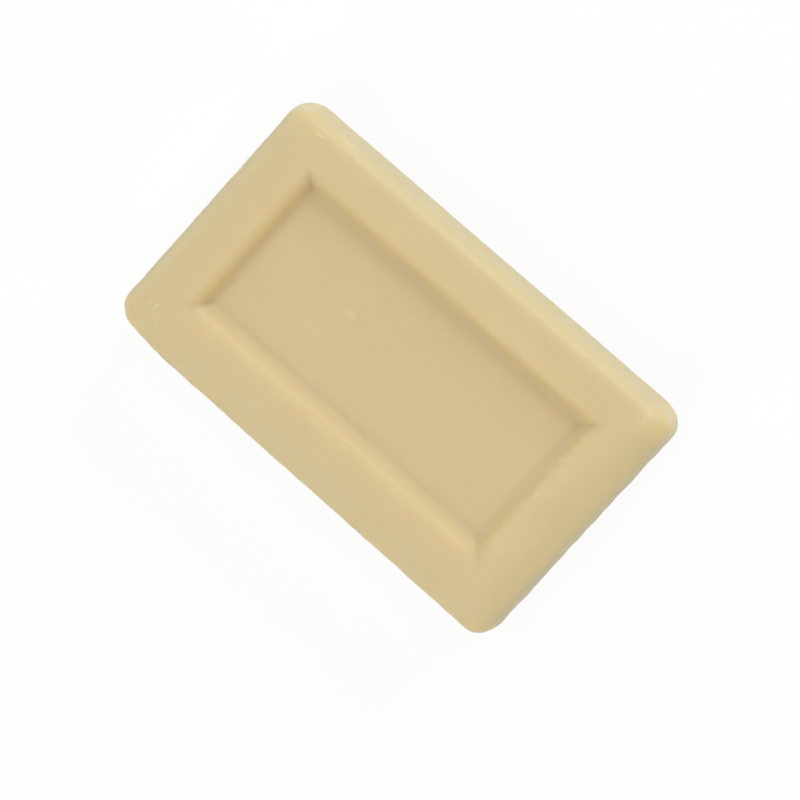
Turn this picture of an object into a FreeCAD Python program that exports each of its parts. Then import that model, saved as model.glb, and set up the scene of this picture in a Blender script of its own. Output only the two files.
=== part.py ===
import FreeCAD
import Part

import math
import os

# A stamped bar of toilet soap, in millimetres.
# The origin is the middle of the flat base. +X runs along the bar and +Z points up.
# Two dies press the bar. They meet at the parting line, half way up, where the bar is widest.
# Each half has a drafted side wall, a round shoulder and a long gentle crown, mitred at the corners.
# The upper die also sinks an oblong panel with sloping walls, which leaves a border all round.

Vector = FreeCAD.Vector

# Outline, at the parting line
LENGTH = 90.0
WIDTH = 54.0
CORNER_RADIUS = 5.2

# Heights
HEIGHT = 22.5
PARTING_HEIGHT = 11.2
PARTING_LAND = 0.8            # height of the strip left where the flash is trimmed

# Section of the edge
SIDE_DRAFT = math.radians(7.0)
SHOULDER_RADIUS = 3.4
CROWN_RADIUS = 14.0
CROWN_WIDTH = 7.9             # from the outline in to where the crown has become level

# Sunk panel
BORDER_WIDTH = 11.0           # from the outline to the panel's rim
PANEL_DEPTH = 3.0
PANEL_WALL_RUN = 2.1          # how far the wall steps in between the rim and the floor
STAMP_OFFSET = 1.1            # the die struck this far off centre, towards +Y
RIM_ROLL = 3.5                # radius that rolls the rim into the border
FLOOR_ROLL = 1.8              # radius where the wall meets the floor
CLEAR_ABOVE = 2.0             # how far the pressing shape stands above the bar


def arc_points(centre, radius, first, last):
    """Start, middle and end of an arc in the section, its angles measured from level outwards."""
    angles = (first, (first + last) / 2, last)
    return [(centre[0] - radius * math.cos(a), centre[1] + radius * math.sin(a)) for a in angles]


def edge_arcs(rise):
    """Shoulder, outer crown and inner crown arcs of one half, as (inset, level) points.

    inset is measured in from the outline, and level from the parting plane up to rise.
    The shoulder touches the leaning wall and the crown. The crown is cut in two over the
    corner's centre, at CORNER_RADIUS, and runs out level at CROWN_WIDTH.
    """
    foot = PARTING_LAND / 2
    lean = math.tan(SIDE_DRAFT)
    crown_centre = (CROWN_WIDTH, rise - CROWN_RADIUS)
    reach = CROWN_RADIUS - SHOULDER_RADIUS

    # The shoulder's centre lies SHOULDER_RADIUS inside the wall, and reach from the crown's centre.
    inset_at_plane = SHOULDER_RADIUS / math.cos(SIDE_DRAFT) - foot * lean
    a = 1 + lean ** 2
    b = 2 * ((inset_at_plane - crown_centre[0]) * lean - crown_centre[1])
    c = (inset_at_plane - crown_centre[0]) ** 2 + crown_centre[1] ** 2 - reach ** 2
    level = (-b + math.sqrt(b * b - 4 * a * c)) / (2 * a)
    centre = (inset_at_plane + level * lean, level)

    meeting = math.atan2(level - crown_centre[1], crown_centre[0] - centre[0])
    over_corner = math.acos((CROWN_WIDTH - CORNER_RADIUS) / CROWN_RADIUS)
    shoulder = arc_points(centre, SHOULDER_RADIUS, SIDE_DRAFT, meeting)
    outer_crown = arc_points(crown_centre, CROWN_RADIUS, meeting, over_corner)
    inner_crown = arc_points(crown_centre, CROWN_RADIUS, over_corner, math.pi / 2)
    return shoulder, outer_crown, inner_crown


def halves():
    """For each half: its direction from the parting plane, and its three arcs."""
    return [(1, edge_arcs(HEIGHT - PARTING_HEIGHT)), (-1, edge_arcs(PARTING_HEIGHT))]


def closed_face(edges):
    """Face inside edges that form one loop, in any order."""
    return Part.Face(Part.Wire(Part.__sortEdges__(edges)))


def edge_section():
    """Face across the bar's edge, from the outline in to the corner's centre.

    It lies in the XZ plane with the outline at X = CORNER_RADIUS and the corner's centre at X = 0.
    """
    foot = PARTING_LAND / 2
    edges = []
    for side, (shoulder, crown, _) in halves():
        def place(point):
            return Vector(CORNER_RADIUS - point[0], 0, PARTING_HEIGHT + side * point[1])
        edges.append(Part.makeLine(place((0, 0)), place((0, foot))))
        edges.append(Part.makeLine(place((0, foot)), place(shoulder[0])))
        edges.append(Part.Arc(*map(place, shoulder)).toShape())
        edges.append(Part.Arc(*map(place, crown)).toShape())
        edges.append(Part.makeLine(place(crown[-1]), place((CORNER_RADIUS, 0))))
    return closed_face(edges)


def middle_section(half_span, place):
    """Face across the bar between its corner centres. place turns (across, height) into a point."""
    edges = []
    for side, (_, _, crown) in halves():
        height = [PARTING_HEIGHT + side * level for _, level in crown]
        across = [half_span - inset for inset, _ in crown]
        for hand in (1, -1):
            rising = [place(hand * x, z) for x, z in zip(across, height)]
            edges.append(Part.Arc(*rising).toShape())
            edges.append(Part.makeLine(rising[0], place(hand * across[0], PARTING_HEIGHT)))
        edges.append(Part.makeLine(place(-across[-1], height[-1]), place(across[-1], height[-1])))
    return closed_face(edges)


def crossed(make_section, lengthways_span, crossways_span):
    """What two long sections have in common where they cross, so that their slopes mitre."""
    lengthways = make_section(lengthways_span, lambda across, z: Vector(across, -WIDTH, z))
    crossways = make_section(crossways_span, lambda across, z: Vector(-LENGTH, across, z))
    return lengthways.extrude(Vector(0, 2 * WIDTH, 0)).common(crossways.extrude(Vector(2 * LENGTH, 0, 0)))


def body():
    """The bar before the panel is sunk: its middle, four edge strips and four rounded corners."""
    section = edge_section()
    reach_x = LENGTH / 2 - CORNER_RADIUS
    reach_y = WIDTH / 2 - CORNER_RADIUS
    up = Vector(0, 0, 1)
    pieces = [crossed(middle_section, LENGTH / 2, WIDTH / 2)]
    for turn in range(4):
        along, across = (reach_x, reach_y) if turn % 2 == 0 else (reach_y, reach_x)
        at_corner = section.translated(Vector(along, -across, 0))
        strip = at_corner.extrude(Vector(0, 2 * across, 0))
        corner = section.revolve(Vector(0, 0, 0), up, 90).translated(Vector(along, across, 0))
        for piece in (strip, corner):
            piece.rotate(Vector(0, 0, 0), up, 90 * turn)
            pieces.append(piece)
    return pieces[0].fuse(pieces[1:]).removeSplitter()


def panel_points(half_span):
    """Right half of the panel's section, as (across, height): floor, roll, wall and rolled rim.

    half_span is the distance from the middle of the panel to its rim.
    """
    floor_z = HEIGHT - PANEL_DEPTH
    pitch = math.atan2(PANEL_DEPTH, PANEL_WALL_RUN)
    foot = half_span - PANEL_WALL_RUN
    floor_cut = FLOOR_ROLL * math.tan(pitch / 2)
    rim_cut = RIM_ROLL * math.tan(pitch / 2)

    floor_end = (foot - floor_cut, floor_z)
    floor_bend = (foot - floor_cut + FLOOR_ROLL * math.sin(pitch / 2),
                  floor_z + FLOOR_ROLL * (1 - math.cos(pitch / 2)))
    wall_start = (foot + floor_cut * math.cos(pitch), floor_z + floor_cut * math.sin(pitch))
    wall_end = (half_span - rim_cut * math.cos(pitch), HEIGHT - rim_cut * math.sin(pitch))
    rim_bend = (half_span + rim_cut - RIM_ROLL * math.sin(pitch / 2),
                HEIGHT - RIM_ROLL * (1 - math.cos(pitch / 2)))
    rim_end = (half_span + rim_cut, HEIGHT)
    return floor_end, floor_bend, wall_start, wall_end, rim_bend, rim_end


def panel_section(half_span, place):
    """The panel's whole closed section. place turns (across, height) into a point in space."""
    right = panel_points(half_span)
    edges = []
    for side in (1, -1):
        floor_end, floor_bend, wall_start, wall_end, rim_bend, rim_end = (
            place(side * across, z) for across, z in right)
        above = place(side * right[-1][0], HEIGHT + CLEAR_ABOVE)
        edges += [Part.Arc(floor_end, floor_bend, wall_start).toShape(),
                  Part.makeLine(wall_start, wall_end),
                  Part.Arc(wall_end, rim_bend, rim_end).toShape(),
                  Part.makeLine(rim_end, above)]
    for across, z in (right[0], (right[-1][0], HEIGHT + CLEAR_ABOVE)):
        edges.append(Part.makeLine(place(-across, z), place(across, z)))
    return closed_face(edges)


def pressing_shape():
    """What the upper die presses out, with its walls mitred at the corners."""
    shape = crossed(panel_section, LENGTH / 2 - BORDER_WIDTH, WIDTH / 2 - BORDER_WIDTH)
    return shape.translated(Vector(0, STAMP_OFFSET, 0))


def soap_bar():
    """The whole bar, with its panel sunk."""
    return body().cut(pressing_shape()).Solids[0]


def main():
    os.makedirs("parts", exist_ok=True)
    bar = soap_bar()
    bar.exportStep("parts/soap_bar.step")
    box = bar.BoundBox
    print("soap_bar: %.1f x %.1f x %.1f mm, %.1f cm3" %
          (box.XLength, box.YLength, box.ZLength, bar.Volume / 1000))


main()
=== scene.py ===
import logging
import math
from dataclasses import dataclass, field
from enum import Enum

import bmesh
import bpy
from mathutils import Matrix, Vector, noise


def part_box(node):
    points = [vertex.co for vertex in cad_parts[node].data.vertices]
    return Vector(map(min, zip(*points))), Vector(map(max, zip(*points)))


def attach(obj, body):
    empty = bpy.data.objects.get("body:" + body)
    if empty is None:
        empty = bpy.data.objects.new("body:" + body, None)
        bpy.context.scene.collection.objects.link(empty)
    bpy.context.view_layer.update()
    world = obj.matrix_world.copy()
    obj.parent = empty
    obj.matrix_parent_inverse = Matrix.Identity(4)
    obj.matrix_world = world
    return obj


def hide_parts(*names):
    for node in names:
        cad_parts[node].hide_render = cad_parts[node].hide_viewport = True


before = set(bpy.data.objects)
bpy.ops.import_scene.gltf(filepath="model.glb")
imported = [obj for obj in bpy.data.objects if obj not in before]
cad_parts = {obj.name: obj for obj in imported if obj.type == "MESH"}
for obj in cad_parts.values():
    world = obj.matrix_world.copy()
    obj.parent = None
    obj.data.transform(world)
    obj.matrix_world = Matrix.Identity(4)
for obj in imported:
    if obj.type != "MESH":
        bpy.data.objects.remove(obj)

LOG = logging.getLogger("soap")
MM = 0.001


class Half(Enum):
    """Which half of the bar a point of the section belongs to, seen from the parting line."""

    UPPER = 1
    LOWER = -1


@dataclass(frozen=True)
class EdgeSizes:
    """Section of the bar's edge, in millimetres."""

    corner_radius: float = 5.2
    parting_height: float = 11.2
    parting_land: float = 0.8
    side_draft: float = math.radians(7.0)
    shoulder_radius: float = 3.4
    crown_radius: float = 14.0
    crown_width: float = 7.9


@dataclass(frozen=True)
class PanelSizes:
    """The sunk panel, in millimetres."""

    border_width: float = 11.0
    depth: float = 3.0
    wall_run: float = 2.1
    stamp_offset: float = 1.1
    rim_roll: float = 2.9
    floor_roll: float = 1.8


@dataclass(frozen=True)
class MeshSteps:
    """How finely each stretch of the bar is divided."""

    corner: int = 12
    along: int = 172
    across: int = 96
    land: int = 2
    wall: int = 10
    shoulder: int = 8
    outer_crown: int = 6
    inner_crown: int = 8
    border: int = 3
    roll: int = 7
    panel_wall: int = 6
    mitre_passes: int = 5
    worn_mitre_passes: int = 14
    crown_mitre_passes: int = 12
    mitre_reach: float = 2.0
    mark_cuts: int = 2


Point = tuple[float, float]


@dataclass(frozen=True)
class LocalShift:
    """How far the soap has moved about one place, and how soon that fades, in millimetres."""

    place: Point
    shift: Point
    fade: Point

    def share(self, x: float, y: float) -> float:
        """How much of the shift a point takes: 1 at the place, and less further off."""
        return math.exp(-((x - self.place[0]) / self.fade[0]) ** 2 - ((y - self.place[1]) / self.fade[1]) ** 2)


@dataclass(frozen=True)
class Wander:
    """How far a surface wanders, and over what distance, in millimetres."""

    amount: float
    spacing: float
    seed: float = 0.0

    def at(self, place: Vector) -> Vector:
        """The wandering at a place, in millimetres, along each axis."""
        return noise.noise_vector(place / self.spacing + Vector((0.0, 0.0, self.seed))) * self.amount


@dataclass(frozen=True)
class Settling:
    """How the soft billet came off the dies: out of square, uneven, with a trimmed flash."""

    lean: float = 0.0198
    taper: float = 0.011
    shifts: tuple[LocalShift, ...] = (
        LocalShift((-42.8, 24.8), (-0.28, -0.08), (3.4, 3.4)),
        LocalShift((-42.4, -24.4), (-0.15, 0.85), (6.5, 6.5)),
        LocalShift((42.8, 24.8), (0.38, 0.06), (3.0, 3.0)),
        LocalShift((42.8, -25.0), (0.36, -0.26), (2.6, 2.6)),
        LocalShift((30.9, 1.0), (-0.80, 0.0), (2.2, 18.0)),
        LocalShift((0.0, -12.4), (0.0, 0.55), (40.0, 1.9)),
        LocalShift((0.0, -15.2), (0.0, -0.35), (40.0, 2.2)),
        LocalShift((0.0, 21.8), (0.0, -0.70), (60.0, 2.4)),
    )
    outline: Wander = Wander(0.06, 11.0)
    edges: Wander = Wander(0.03, 2.8, 5.0)
    swell: Wander = Wander(0.09, 14.0, 9.0)
    flash: Wander = Wander(0.06, 3.4, 13.0)
    flash_at_end: float = 0.24
    flash_height: float = 0.9
    chips: Wander = Wander(0.12, 1.8, 17.0)
    chipped_band: Point = (17.6, 21.3)


@dataclass(frozen=True)
class Mark:
    """A flake, nick or scratch on the upper face, in millimetres and degrees.

    rise is negative for a dent. pale says how much lighter the soap is there.
    """

    place: Point
    length: float
    width: float
    turn: float = 0.0
    rise: float = 0.1
    pale: float = 0.0

    def weight(self, x: float, y: float) -> float:
        """How strongly the mark shows: 1 in its middle and 0 from its ragged edge outwards."""
        dx, dy = x - self.place[0], y - self.place[1]
        cosine, sine = math.cos(math.radians(self.turn)), math.sin(math.radians(self.turn))
        along = (dx * cosine + dy * sine) / (self.length / 2)
        across = (dy * cosine - dx * sine) / (self.width / 2)
        return max(0.0, 1.0 - along ** 2 - across ** 2) ** 2

    def near(self, x: float, y: float) -> bool:
        """Whether a point is close enough to need a finer mesh."""
        reach = self.length / 2 + 0.4
        return abs(x - self.place[0]) < reach and abs(y - self.place[1]) < reach


FLAKES = (
    Mark((-36.3, 23.0), 1.9, 0.9, 14.0, rise=0.14, pale=0.35),
    Mark((-32.9, 25.3), 1.7, 0.8, -35.0, rise=0.10, pale=0.35),
    Mark((-31.2, 25.2), 2.6, 0.8, 10.0, rise=0.10, pale=0.35),
    Mark((-11.7, 2.6), 3.0, 1.8, 4.0, rise=0.09, pale=0.40),
    Mark((20.3, 3.0), 2.6, 1.3, 12.0, rise=0.07, pale=0.18),
    Mark((39.2, 24.2), 2.2, 1.0, -70.0, rise=0.08, pale=0.15),
    Mark((32.8, 8.2), 2.2, 0.9, 35.0, rise=0.12, pale=0.20),
    Mark((33.5, 0.6), 1.3, 0.9, 80.0, rise=0.10, pale=0.18),
    Mark((10.4, -13.4), 1.8, 0.9, 8.0, rise=0.14, pale=0.20),
    Mark((14.5, -13.4), 1.3, 0.8, -10.0, rise=0.10, pale=0.18),
    Mark((30.9, -13.4), 1.6, 0.9, 20.0, rise=0.12, pale=0.18),
)
NICKS = (
    Mark((38.9, 22.9), 1.3, 0.8, -75.0, rise=-0.10, pale=0.18),
    Mark((38.3, 22.0), 1.9, 0.7, 50.0, rise=-0.10, pale=0.18),
    Mark((-38.0, -17.9), 1.4, 0.8, 130.0, rise=-0.10, pale=0.18),
    Mark((-38.6, -18.7), 2.2, 0.9, 62.0, rise=-0.12, pale=0.26),
    Mark((-39.7, -19.2), 1.2, 0.8, 110.0, rise=-0.08, pale=0.22),
    Mark((-37.0, -20.7), 1.6, 1.0, 120.0, rise=-0.08, pale=0.16),
    Mark((-24.7, -14.4), 1.3, 0.9, 60.0, rise=-0.12, pale=0.12),
    Mark((-18.7, 25.4), 1.8, 0.7, -40.0, rise=-0.10, pale=0.12),
    Mark((15.7, 7.9), 0.9, 0.8, rise=-0.06, pale=0.10),
    Mark((18.9, -6.3), 0.9, 0.8, rise=-0.06, pale=0.10),
    Mark((-22.7, 1.8), 1.0, 0.8, 30.0, rise=-0.06, pale=0.10),
    Mark((-15.6, -1.8), 0.9, 0.8, rise=-0.05, pale=0.10),
    Mark((29.2, -19.6), 2.6, 0.8, 50.0, rise=-0.06, pale=0.10),
    Mark((12.8, 22.9), 2.0, 0.8, -35.0, rise=-0.06, pale=0.10),
    Mark((4.3, -22.9), 1.0, 0.8, rise=-0.08, pale=0.06),
)


def arc_run(centre: Point, radius: float, first: float, last: float, steps: int) -> list[Point]:
    """Points along an arc of the edge's section.

    Args:
        centre: inset and level of the arc's centre.
        radius: radius of the arc.
        first: angle of the first point, measured from level outwards.
        last: angle of the last point.
        steps: number of stretches.

    Returns:
        The points as (inset, level), both ends included.
    """
    angles = [first + (last - first) * i / steps for i in range(steps + 1)]
    return [(centre[0] - radius * math.cos(a), centre[1] + radius * math.sin(a)) for a in angles]


def line_run(start: Point, end: Point, steps: int) -> list[Point]:
    """Evenly spaced points from start to end, without start itself."""
    return [(start[0] + (end[0] - start[0]) * i / steps, start[1] + (end[1] - start[1]) * i / steps)
            for i in range(1, steps + 1)]


@dataclass
class SoapBar:
    """The stamped bar: a crowned block with a sunk panel in its upper face."""

    length: float
    width: float
    height: float
    edge: EdgeSizes = field(default_factory=EdgeSizes)
    panel: PanelSizes = field(default_factory=PanelSizes)
    steps: MeshSteps = field(default_factory=MeshSteps)
    settling: Settling = field(default_factory=Settling)
    marks: tuple[Mark, ...] = FLAKES + NICKS
    ragged: Wander = Wander(0.35, 0.9, 21.0)

    def crown_run(self, half: Half) -> tuple[list[Point], list[Point]]:
        """Section of one half, from the parting line to where the crown is level.

        Args:
            half: which half to follow.

        Returns:
            Points as (inset from the outline, height above the base): those from the parting
            line to over the corner's centre, and those on from there.
        """
        e, s = self.edge, self.steps
        rise = self.height - e.parting_height if half is Half.UPPER else e.parting_height
        foot = e.parting_land / 2
        lean = math.tan(e.side_draft)
        crown_centre = (e.crown_width, rise - e.crown_radius)
        reach = e.crown_radius - e.shoulder_radius
        start = e.shoulder_radius / math.cos(e.side_draft) - foot * lean
        a = 1 + lean ** 2
        b = 2 * ((start - crown_centre[0]) * lean - crown_centre[1])
        c = (start - crown_centre[0]) ** 2 + crown_centre[1] ** 2 - reach ** 2
        level = (-b + math.sqrt(b * b - 4 * a * c)) / (2 * a)
        centre = (start + level * lean, level)
        meeting = math.atan2(level - crown_centre[1], crown_centre[0] - centre[0])
        over_corner = math.acos((e.crown_width - e.corner_radius) / e.crown_radius)
        shoulder = arc_run(centre, e.shoulder_radius, e.side_draft, meeting, s.shoulder)
        outer = arc_run(crown_centre, e.crown_radius, meeting, over_corner, s.outer_crown)
        inner = arc_run(crown_centre, e.crown_radius, over_corner, math.pi / 2, s.inner_crown)
        land = [(0.0, 0.0)] + line_run((0.0, 0.0), (0.0, foot), s.land)
        edge = land + line_run(land[-1], shoulder[0], s.wall) + shoulder[1:] + outer[1:]

        def lift(run: list[Point]) -> list[Point]:
            return [(inset, e.parting_height + half.value * rise_here) for inset, rise_here in run]

        return lift(edge), lift(inner[1:])

    def sweep_edge(self, bm: bmesh.types.BMesh) -> None:
        """Spins the edge's section round each corner and draws it out along each side.

        Args:
            bm: empty mesh that the bar is built in.
        """
        upper, _ = self.crown_run(Half.UPPER)
        lower, _ = self.crown_run(Half.LOWER)
        radius = self.edge.corner_radius
        reach_x = (self.length / 2 - radius) * MM
        reach_y = (self.width / 2 - radius) * MM
        section = [Vector(((radius - inset) * MM + reach_x, reach_y, z * MM)) for inset, z in lower[:0:-1] + upper]
        verts = [bm.verts.new(p) for p in section]
        geom = verts + [bm.edges.new(pair) for pair in zip(verts, verts[1:])]
        corners = ((1, 1), (-1, 1), (-1, -1), (1, -1))
        sides = (Vector((-2 * reach_x, 0, 0)), Vector((0, -2 * reach_y, 0)),
                 Vector((2 * reach_x, 0, 0)), Vector((0, 2 * reach_y, 0)))
        for (side_x, side_y), side in zip(corners, sides):
            centre = Vector((side_x * reach_x, side_y * reach_y, 0))
            turned = bmesh.ops.spin(bm, geom=geom, cent=centre, axis=(0, 0, 1), dvec=(0, 0, 0),
                                    angle=math.pi / 2, steps=self.steps.corner,
                                    use_merge=False, use_duplicate=False)
            drawn = bmesh.ops.spin(bm, geom=turned["geom_last"], cent=centre, axis=(0, 0, 1), dvec=side,
                                   angle=0.0, steps=1, use_merge=False, use_duplicate=False)
            geom = drawn["geom_last"]
        bmesh.ops.remove_doubles(bm, verts=bm.verts, dist=1e-6)

    def panel_run(self) -> list[Point]:
        """Section of the panel from the crown in, as (inset from the outline, height)."""
        p, s = self.panel, self.steps
        pitch = math.atan2(p.depth, p.wall_run)
        floor = self.height - p.depth
        rim_cut = p.rim_roll * math.tan(pitch / 2)
        floor_cut = p.floor_roll * math.tan(pitch / 2)
        foot = p.border_width + p.wall_run
        rim_centre = (p.border_width - rim_cut, self.height - p.rim_roll)
        floor_centre = (foot + floor_cut, floor + p.floor_roll)
        run = line_run((self.edge.crown_width, self.height), (rim_centre[0], self.height), s.border)
        rim = [pitch * i / s.roll for i in range(1, s.roll + 1)]
        run += [(rim_centre[0] + p.rim_roll * math.sin(a), rim_centre[1] + p.rim_roll * math.cos(a)) for a in rim]
        wall_end = (floor_centre[0] - p.floor_roll * math.sin(pitch),
                    floor_centre[1] - p.floor_roll * math.cos(pitch))
        run += line_run(run[-1], wall_end, s.panel_wall)
        turns = [pitch * (1 - i / s.roll) for i in range(1, s.roll + 1)]
        run += [(floor_centre[0] - p.floor_roll * math.sin(a), floor_centre[1] - p.floor_roll * math.cos(a))
                for a in turns]
        return run

    def close_face(self, bm: bmesh.types.BMesh, height: float, rings: list[Point],
                   offset_from: int, shift: float) -> None:
        """Draws a face in through rings and closes its middle.

        Args:
            bm: mesh of the bar.
            height: height of the open loop, in millimetres.
            rings: (inset, height) of each ring, from the loop inwards.
            offset_from: the first ring that may lie off centre.
            shift: how far the panel lies off centre, in millimetres.
        """
        loop = [e for e in bm.edges if e.is_boundary
                and all(abs(v.co.z - height * MM) < 1e-6 for v in e.verts)]
        inset, last_shift = self.edge.corner_radius, 0.0
        for step, (next_inset, z) in enumerate(rings):
            drawn = bmesh.ops.extrude_edge_only(bm, edges=loop)["geom"]
            verts = [g for g in drawn if isinstance(g, bmesh.types.BMVert)]
            fresh = set(verts)
            loop = [g for g in drawn if isinstance(g, bmesh.types.BMEdge) and fresh.issuperset(g.verts)]
            ratio = Vector(((self.length / 2 - next_inset) / (self.length / 2 - inset),
                            (self.width / 2 - next_inset) / (self.width / 2 - inset), 1.0))
            next_shift = shift * min(1.0, max(0.0, (step + 1 - offset_from) / self.steps.border))
            bmesh.ops.translate(bm, verts=verts, vec=(0, -last_shift * MM, 0))
            bmesh.ops.scale(bm, verts=verts, vec=ratio)
            bmesh.ops.translate(bm, verts=verts, vec=(0, next_shift * MM, z * MM - verts[0].co.z))
            inset, last_shift = next_inset, next_shift
        bmesh.ops.holes_fill(bm, edges=loop, sides=len(loop))

    def divide(self, bm: bmesh.types.BMesh) -> None:
        """Divides the long stretches, so that the whole bar has an even grid of small faces."""
        spans = ((0, self.length, self.steps.along), (1, self.width, self.steps.across))
        for axis, span, count in spans:
            least = (span / 2 - self.panel.border_width - self.panel.wall_run - self.panel.floor_roll) * MM
            drawn = [e for e in bm.edges if abs(e.verts[0].co[axis] - e.verts[1].co[axis]) > least]
            bmesh.ops.subdivide_edges(bm, edges=drawn, cuts=count - 1, use_grid_fill=True)

    def ease_mitres(self, bm: bmesh.types.BMesh) -> None:
        """Softens the creases where slopes turn the corners, most where the die is worn, at the right."""
        inner = self.panel.border_width + self.panel.wall_run + self.steps.mitre_reach
        outer = self.edge.corner_radius
        eased, worn, crown = [], [], []
        for vert in bm.verts:
            inset_x = self.length / 2 - abs(vert.co.x) / MM
            inset_y = self.width / 2 - abs(vert.co.y) / MM
            if vert.co.z > self.edge.parting_height * MM and outer < min(inset_x, inset_y) and \
                    max(inset_x, inset_y) < inner:
                on_crown = min(inset_x, inset_y) < self.edge.crown_width
                (crown if on_crown else worn if vert.co.x > 0 else eased).append(vert)
        for verts, passes in ((eased, self.steps.mitre_passes), (worn, self.steps.worn_mitre_passes),
                              (crown, self.steps.crown_mitre_passes)):
            for _ in range(passes):
                bmesh.ops.smooth_vert(bm, verts=verts, factor=0.5, use_axis_x=True, use_axis_y=True,
                                      use_axis_z=True)

    def skew(self, bm: bmesh.types.BMesh) -> None:
        """Leaves the bar slightly out of square, with corners, shoulders and panel walls that differ."""
        s = self.settling
        for vert in bm.verts:
            x, y = vert.co.x / MM, vert.co.y / MM
            new_x, new_y = x + s.lean * y, y * (1 + s.taper * 2 * x / self.length)
            for local in s.shifts:
                share = local.share(x, y)
                new_x += local.shift[0] * share
                new_y += local.shift[1] * share
            vert.co.x, vert.co.y = new_x * MM, new_y * MM

    def refine(self, bm: bmesh.types.BMesh) -> None:
        """Divides the mesh more finely around each mark."""
        near = {vert for vert in bm.verts if vert.co.z > self.edge.parting_height * MM
                and any(mark.near(vert.co.x / MM, vert.co.y / MM) for mark in self.marks)}
        short = {e for vert in near for e in vert.link_edges if near.issuperset(e.verts)}
        bmesh.ops.subdivide_edges(bm, edges=list(short), cuts=self.steps.mark_cuts, use_grid_fill=True)

    def roughen(self, bm: bmesh.types.BMesh) -> None:
        """Adds the wandering edges, the gentle swell, the trimmed flash, the chipped shoulder and the marks."""
        s = self.settling
        for vert in bm.verts:
            place = vert.co / MM
            lift = place.z / self.height
            outwards = self.outwards(place)
            aside = s.outline.at(place) + s.edges.at(place)
            swell = s.swell.at(place).z * lift
            to_parting = (place.z - self.edge.parting_height) / s.flash_height
            at_end = max(0.0, outwards.x) * s.flash_at_end / s.flash.amount
            flash = s.flash.at(place).x * (1.0 + at_end) * math.exp(-to_parting ** 2)
            low, high = s.chipped_band
            band = max(0.0, 1.0 - abs(2 * place.z - low - high) / (high - low))
            chip = s.chips.at(place).x * band if outwards.length > 0 else 0.0
            shift = Vector((aside.x, aside.y, swell + self.mark_rise(place))) + outwards * (flash + chip)
            vert.co += shift * MM

    def mark_rise(self, place: Vector) -> float:
        """How far the marks raise the upper face at a place, in millimetres."""
        if place.z < self.edge.parting_height:
            return 0.0
        marks = [mark for mark in self.marks if mark.near(place.x, place.y)]
        torn = place + self.ragged.at(place) if marks else place
        return sum(mark.rise * mark.weight(torn.x, torn.y) for mark in marks)

    def outwards(self, place: Vector) -> Vector:
        """The level direction out of the bar at a place near its outline, or none further in."""
        radius = self.edge.corner_radius
        inner_x, inner_y = self.length / 2 - radius, self.width / 2 - radius
        away = Vector((place.x - max(-inner_x, min(inner_x, place.x)),
                       place.y - max(-inner_y, min(inner_y, place.y)), 0.0))
        return away.normalized()

    def fill_box(self, bm: bmesh.types.BMesh) -> None:
        """Brings the bar back to its exact length, width and height, with its base on the ground."""
        for axis, span in enumerate((self.length, self.width, self.height)):
            values = [vert.co[axis] for vert in bm.verts]
            low, high = min(values), max(values)
            start = 0.0 if axis == 2 else -span / 2 * MM
            for vert in bm.verts:
                vert.co[axis] = start + (vert.co[axis] - low) * span * MM / (high - low)

    def build(self) -> bpy.types.Object:
        """Makes the bar's mesh and its object."""
        bm = bmesh.new()
        self.sweep_edge(bm)
        upper, top_crown = self.crown_run(Half.UPPER)
        lower, base_crown = self.crown_run(Half.LOWER)
        self.close_face(bm, upper[-1][1], top_crown + self.panel_run(), len(top_crown), self.panel.stamp_offset)
        self.close_face(bm, lower[-1][1], base_crown, len(base_crown), 0.0)
        self.divide(bm)
        self.ease_mitres(bm)
        self.skew(bm)
        self.refine(bm)
        self.roughen(bm)
        self.fill_box(bm)
        bmesh.ops.recalc_face_normals(bm, faces=bm.faces)
        for face in bm.faces:
            face.smooth = True
        LOG.info("soap bar: %d faces, %d triangles, %d open edges", len(bm.faces),
                 sum(len(f.verts) - 2 for f in bm.faces), sum(e.is_boundary for e in bm.edges))
        mesh = bpy.data.meshes.new("stamped_bar")
        bm.to_mesh(mesh)
        bm.free()
        bar = bpy.data.objects.new("stamped_bar", mesh)
        bpy.context.scene.collection.objects.link(bar)
        return bar


Colour = tuple[float, float, float]


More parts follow.
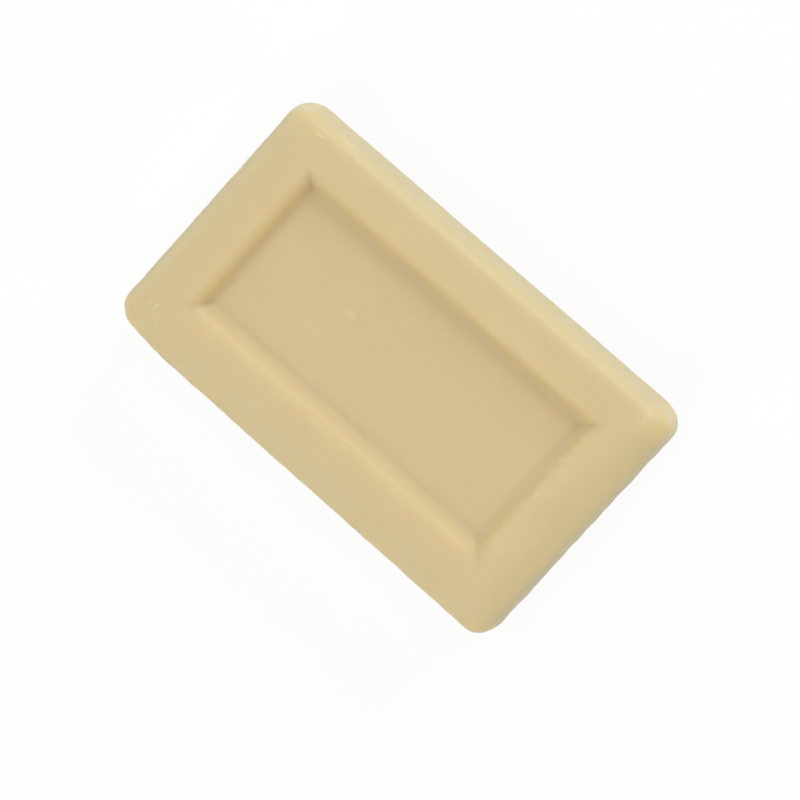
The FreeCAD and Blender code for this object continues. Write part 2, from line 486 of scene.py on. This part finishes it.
class NodeSheet:
    """A material's nodes, added and joined by short calls."""

    def __init__(self, name: str) -> None:
        """Starts a new material.

        Args:
            name: the material's name.
        """
        self.material = bpy.data.materials.new(name)
        self.material.use_nodes = True
        self.tree = self.material.node_tree
        self.shader = self.tree.nodes["Principled BSDF"]

    def add(self, kind: str, **settings: object) -> bpy.types.Node:
        """A new node with its settings."""
        node = self.tree.nodes.new(kind)
        for name, value in settings.items():
            setattr(node, name, value)
        return node

    def feed(self, socket: bpy.types.NodeSocket, value: object) -> None:
        """Gives an input either a link from a socket or a plain value."""
        if isinstance(value, bpy.types.NodeSocket):
            self.tree.links.new(value, socket)
        else:
            socket.default_value = value

    def math(self, operation: str, first: object, second: object = 0.0) -> bpy.types.NodeSocket:
        """The result of a sum on two values."""
        node = self.add("ShaderNodeMath", operation=operation)
        self.feed(node.inputs[0], first)
        self.feed(node.inputs[1], second)
        return node.outputs[0]

    def ramp(self, value: object, start: float, end: float) -> bpy.types.NodeSocket:
        """A smooth rise from 0 at start to 1 at end."""
        node = self.add("ShaderNodeMapRange", interpolation_type="SMOOTHSTEP")
        self.feed(node.inputs["Value"], value)
        node.inputs["From Min"].default_value = start
        node.inputs["From Max"].default_value = end
        return node.outputs["Result"]

    def noise(self, where: bpy.types.NodeSocket, spacing: float, detail: float) -> bpy.types.NodeSocket:
        """Soft random values, with a spacing in millimetres."""
        node = self.add("ShaderNodeTexNoise")
        self.feed(node.inputs["Vector"], where)
        node.inputs["Scale"].default_value = 1.0 / (spacing * MM)
        node.inputs["Detail"].default_value = detail
        return node.outputs["Fac"]

    def shaken(self, where: bpy.types.NodeSocket, spacing: float, amount: float) -> bpy.types.NodeSocket:
        """Places moved about by soft random amounts, both in millimetres."""
        wobble = self.add("ShaderNodeTexNoise")
        self.feed(wobble.inputs["Vector"], where)
        wobble.inputs["Scale"].default_value = 1.0 / (spacing * MM)
        middle = self.add("ShaderNodeVectorMath", operation="SUBTRACT")
        self.feed(middle.inputs[0], wobble.outputs["Color"])
        middle.inputs[1].default_value = (0.5, 0.5, 0.5)
        moved = self.add("ShaderNodeVectorMath", operation="MULTIPLY_ADD")
        self.feed(moved.inputs[0], middle.outputs["Vector"])
        moved.inputs[1].default_value = (2 * amount * MM,) * 3
        self.feed(moved.inputs[2], where)
        return moved.outputs["Vector"]

    def mix(self, share: object, first: object, second: object) -> bpy.types.NodeSocket:
        """A colour between two colours."""
        node = self.add("ShaderNodeMix", data_type="RGBA")
        for socket, value in zip((node.inputs["Factor"], node.inputs[6], node.inputs[7]), (share, first, second)):
            self.feed(socket, (*value, 1.0) if isinstance(value, tuple) else value)
        return node.outputs[2]


@dataclass(frozen=True)
class SoapFinish:
    """Milled soap: pale, waxy and slightly see-through, with painted sheen that makes it paler towards its edges and
    painted shade that warms its panel walls.
    """

    colour: Colour = (0.640, 0.524, 0.286)
    light_patch: Colour = (0.650, 0.534, 0.296)
    # Painted sheen: the paler, cooler colour that the soap takes towards its edges.
    edge_sheen: Colour = (0.625, 0.530, 0.308)
    # Painted shade: the warmer, more saturated colour on the panel's walls and around their feet.
    recess_shade: Colour = (0.655, 0.520, 0.270)
    flake: Colour = (0.790, 0.700, 0.460)
    # Painted sheen starts this far in from the outline and is full this far in, in millimetres.
    sheen_from: float = 9.0
    sheen_to: float = 1.5
    # Extent of the painted shade on the panel's walls and their feet, in millimetres.
    wall_from: Point = (9.0, 8.0)
    wall_fade: float = 1.0
    foot_fade: Point = (-0.1, 0.5)
    foot_band: Point = (17.0, 13.5)
    foot_share: float = 0.6
    rim_fade: Point = (0.2, 1.2)
    roughness: float = 0.5
    reach: float = 0.006
    spread: Colour = (1.0, 0.7, 0.35)
    grain: float = 0.12

    def edge_sheen_share(self, sheet: NodeSheet, x: object, y: object, bar: SoapBar) -> bpy.types.NodeSocket:
        """How strong the painted sheen is: rising over the border's outer part, in soft patches."""
        near_x = sheet.ramp(x, (bar.length / 2 - self.sheen_from) * MM, (bar.length / 2 - self.sheen_to) * MM)
        near_y = sheet.ramp(y, (bar.width / 2 - self.sheen_from) * MM, (bar.width / 2 - self.sheen_to) * MM)
        return sheet.math("MINIMUM", sheet.math("ADD", near_x, near_y), 1.0)

    def recess_shade_share(self, sheet: NodeSheet, x: object, y: object, z: object, bar: SoapBar) -> bpy.types.NodeSocket:
        """Where the painted shade lies: on the panel's walls below the rim, above the floor and inside the border,
        and partly around their feet.
        """
        floor = bar.height - bar.panel.depth
        edge_x, edge_y = bar.length / 2 - self.wall_from[0], bar.width / 2 - self.wall_from[1]
        inside_x = sheet.ramp(x, edge_x * MM, (edge_x - self.wall_fade) * MM)
        inside_y = sheet.ramp(y, edge_y * MM, (edge_y - self.wall_fade) * MM)
        above_floor = sheet.ramp(z, (floor + self.foot_fade[0]) * MM, (floor + self.foot_fade[1]) * MM)
        below_rim = sheet.ramp(z, (bar.height - self.rim_fade[0]) * MM, (bar.height - self.rim_fade[1]) * MM)
        foot_x, foot_y = (sheet.ramp(place, (span / 2 - self.foot_band[0]) * MM, (span / 2 - self.foot_band[1]) * MM)
                          for place, span in ((x, bar.length), (y, bar.width)))
        foot = sheet.math("MULTIPLY", sheet.math("MAXIMUM", foot_x, foot_y), self.foot_share)
        walls = sheet.math("MULTIPLY", sheet.math("MAXIMUM", above_floor, foot), below_rim)
        return sheet.math("MULTIPLY", walls, sheet.math("MULTIPLY", inside_x, inside_y))

    def mark_share(self, sheet: NodeSheet, where: object, bar: SoapBar) -> bpy.types.NodeSocket:
        """Where the soap is flaked and paler: a soft spot on each mark."""
        total = 0.0
        torn = sheet.shaken(where, bar.ragged.spacing, bar.ragged.amount)
        for mark in bar.marks:
            spot = sheet.add("ShaderNodeMapping", vector_type="TEXTURE")
            sheet.feed(spot.inputs["Vector"], torn)
            spot.inputs["Location"].default_value = (mark.place[0] * MM, mark.place[1] * MM, bar.height * MM)
            spot.inputs["Rotation"].default_value = (0.0, 0.0, math.radians(mark.turn))
            spot.inputs["Scale"].default_value = (mark.length / 2 * MM, mark.width / 2 * MM, 6.0 * MM)
            ball = sheet.add("ShaderNodeTexGradient", gradient_type="SPHERICAL")
            sheet.feed(ball.inputs["Vector"], spot.outputs["Vector"])
            total = sheet.math("MAXIMUM", total, sheet.math("MULTIPLY", ball.outputs["Fac"], 1.6 * mark.pale))
        return total

    def material(self, bar: SoapBar) -> bpy.types.Material:
        """The soap's material.

        Args:
            bar: the bar that it covers, for its sizes and marks.

        Returns:
            The finished material.
        """
        sheet = NodeSheet("milled_soap")
        where = sheet.add("ShaderNodeTexCoord").outputs["Object"]
        axes = sheet.add("ShaderNodeSeparateXYZ")
        sheet.feed(axes.inputs[0], where)
        x, y = (sheet.math("ABSOLUTE", axes.outputs[i]) for i in (0, 1))
        patches = sheet.ramp(sheet.noise(where, 7.0, 3.0), 0.35, 0.65)
        colour = sheet.mix(patches, self.colour, self.light_patch)
        # Painted sheen: paler, cooler soap towards the outline, in soft patches.
        sheen = sheet.math("MULTIPLY", self.edge_sheen_share(sheet, x, y, bar), sheet.ramp(patches, -1.0, 1.0))
        colour = sheet.mix(sheen, colour, self.edge_sheen)
        # Painted shade: a warmer, more saturated colour on the panel's walls and around their feet.
        colour = sheet.mix(self.recess_shade_share(sheet, x, y, axes.outputs[2], bar), colour, self.recess_shade)
        colour = sheet.mix(self.mark_share(sheet, where, bar), colour, self.flake)
        bump = sheet.add("ShaderNodeBump")
        bump.inputs["Strength"].default_value = self.grain
        bump.inputs["Distance"].default_value = 0.2 * MM
        sheet.feed(bump.inputs["Height"], sheet.noise(where, 0.9, 4.0))
        shader = sheet.shader.inputs
        sheet.feed(shader["Base Color"], colour)
        sheet.feed(shader["Normal"], bump.outputs["Normal"])
        shader["Roughness"].default_value = self.roughness
        shader["Subsurface Weight"].default_value = 1.0
        shader["Subsurface Radius"].default_value = self.spread
        shader["Subsurface Scale"].default_value = self.reach
        return sheet.material


@dataclass(frozen=True)
class PhotoView:
    """Where the camera stands. Distances in millimetres, angles in degrees."""

    distance: float = 640.0
    tilt_along: float = 2.0
    tilt_across: float = 8.5
    turn: float = 40.82
    lens: float = 161.8
    sensor: float = 36.0
    aim: tuple[float, float, float] = (4.32, -4.18, 12.0)

    def build(self) -> bpy.types.Object:
        """Makes the camera and hands it to the scene."""
        data = bpy.data.cameras.new("photo_camera")
        data.lens, data.sensor_width = self.lens, self.sensor
        data.clip_start, data.clip_end = 0.01, 10.0
        camera = bpy.data.objects.new("photo_camera", data)
        bpy.context.scene.collection.objects.link(camera)
        back = Vector((math.tan(math.radians(self.tilt_along)), math.tan(math.radians(self.tilt_across)), 1.0))
        back.normalize()
        turn = math.radians(self.turn)
        up = Vector((-math.sin(turn), math.cos(turn), 0.0))
        right = up.cross(back).normalized()
        true_up = back.cross(right)
        camera.matrix_world = Matrix.Translation(Vector(self.aim) * MM + back * self.distance * MM) @ \
            Matrix((right, true_up, back)).transposed().to_4x4()
        bpy.context.scene.camera = camera
        return camera


@dataclass(frozen=True)
class Lamp:
    """A square lamp that faces the bar. Power in watts, angles in degrees, lengths in metres."""

    name: str
    power: float
    from_above: float
    bearing: float = 0.0
    size: float = 0.7
    distance: float = 1.2
    tint: Colour = (1.0, 1.0, 1.0)

    def build(self) -> bpy.types.Object:
        """Makes the lamp, turned towards the origin."""
        data = bpy.data.lights.new(self.name, "AREA")
        data.shape, data.size, data.energy, data.color = "SQUARE", self.size, self.power, self.tint
        made = bpy.data.objects.new(self.name, data)
        bpy.context.scene.collection.objects.link(made)
        steep, bearing = math.radians(self.from_above), math.radians(self.bearing)
        towards = Vector((math.sin(steep) * math.cos(bearing), math.sin(steep) * math.sin(bearing), math.cos(steep)))
        made.location = towards * self.distance
        made.rotation_euler = towards.to_track_quat("Z", "Y").to_euler()
        return made


@dataclass(frozen=True)
class Studio:
    """Pale floor and plain soft light, strongest from the photograph's upper edge."""

    floor_size: float = 3.0
    floor_white: float = 0.9
    lamps: tuple[Lamp, ...] = (
        Lamp("window", power=9.3, from_above=65.0, bearing=90.0, tint=(0.94, 1.0, 1.0)),
        Lamp("left_fill", power=4.5, from_above=65.0, bearing=180.0, tint=(0.73, 0.85, 1.0)),
        Lamp("near_fill", power=3.0, from_above=65.0, bearing=270.0, tint=(0.97, 1.0, 0.84)),
        Lamp("right_fill", power=2.4, from_above=65.0, bearing=0.0, tint=(0.93, 1.0, 0.92)),
        Lamp("high_fill", power=4.0, from_above=40.0, bearing=270.0, tint=(0.86, 0.93, 1.0)),
        Lamp("overhead", power=8.5, from_above=0.0, size=1.3, tint=(1.0, 0.86, 0.82)),
    )

    def floor(self) -> bpy.types.Object:
        """A plain pale floor that stays near white and keeps the bar's shadow."""
        bm = bmesh.new()
        bmesh.ops.create_grid(bm, x_segments=1, y_segments=1, size=self.floor_size / 2)
        mesh = bpy.data.meshes.new("floor")
        bm.to_mesh(mesh)
        bm.free()
        floor = bpy.data.objects.new("floor", mesh)
        bpy.context.scene.collection.objects.link(floor)
        made = bpy.data.materials.new("pale_floor")
        made.use_nodes = True
        tree = made.node_tree
        tree.nodes["Principled BSDF"].inputs["Base Color"].default_value = (0.9, 0.9, 0.9, 1.0)
        tree.nodes["Principled BSDF"].inputs["Roughness"].default_value = 0.9
        glow = tree.nodes.new("ShaderNodeEmission")
        glow.inputs["Strength"].default_value = 1.0
        mix = tree.nodes.new("ShaderNodeMixShader")
        path = tree.nodes.new("ShaderNodeLightPath")
        share = tree.nodes.new("ShaderNodeMath")
        share.operation = "MULTIPLY"
        share.inputs[1].default_value = self.floor_white
        tree.links.new(path.outputs["Is Camera Ray"], share.inputs[0])
        tree.links.new(share.outputs[0], mix.inputs[0])
        tree.links.new(tree.nodes["Principled BSDF"].outputs[0], mix.inputs[1])
        tree.links.new(glow.outputs[0], mix.inputs[2])
        tree.links.new(mix.outputs[0], tree.nodes["Material Output"].inputs["Surface"])
        mesh.materials.append(made)
        return floor

    def lights(self) -> None:
        """The lamps, under a black sky."""
        for lamp in self.lamps:
            lamp.build()
        world = bpy.data.worlds.new("sky")
        world.use_nodes = True
        world.node_tree.nodes["Background"].inputs["Strength"].default_value = 0.0
        bpy.context.scene.world = world


def main() -> None:
    """Builds the bar, its finish, the camera and the studio."""
    logging.basicConfig(level=logging.INFO, format="%(name)s: %(message)s")
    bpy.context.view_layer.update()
    low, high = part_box("soap_bar")
    size = (high - low) / MM
    bar = SoapBar(length=size.x, width=size.y, height=size.z)
    piece = bar.build()
    piece.data.materials.append(SoapFinish().material(bar))
    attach(piece, "root")
    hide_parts("soap_bar")
    PhotoView().build()
    studio = Studio()
    studio.floor()
    studio.lights()
    bpy.context.scene.view_settings.view_transform = "Standard"


if __name__ == "__main__":
    main()
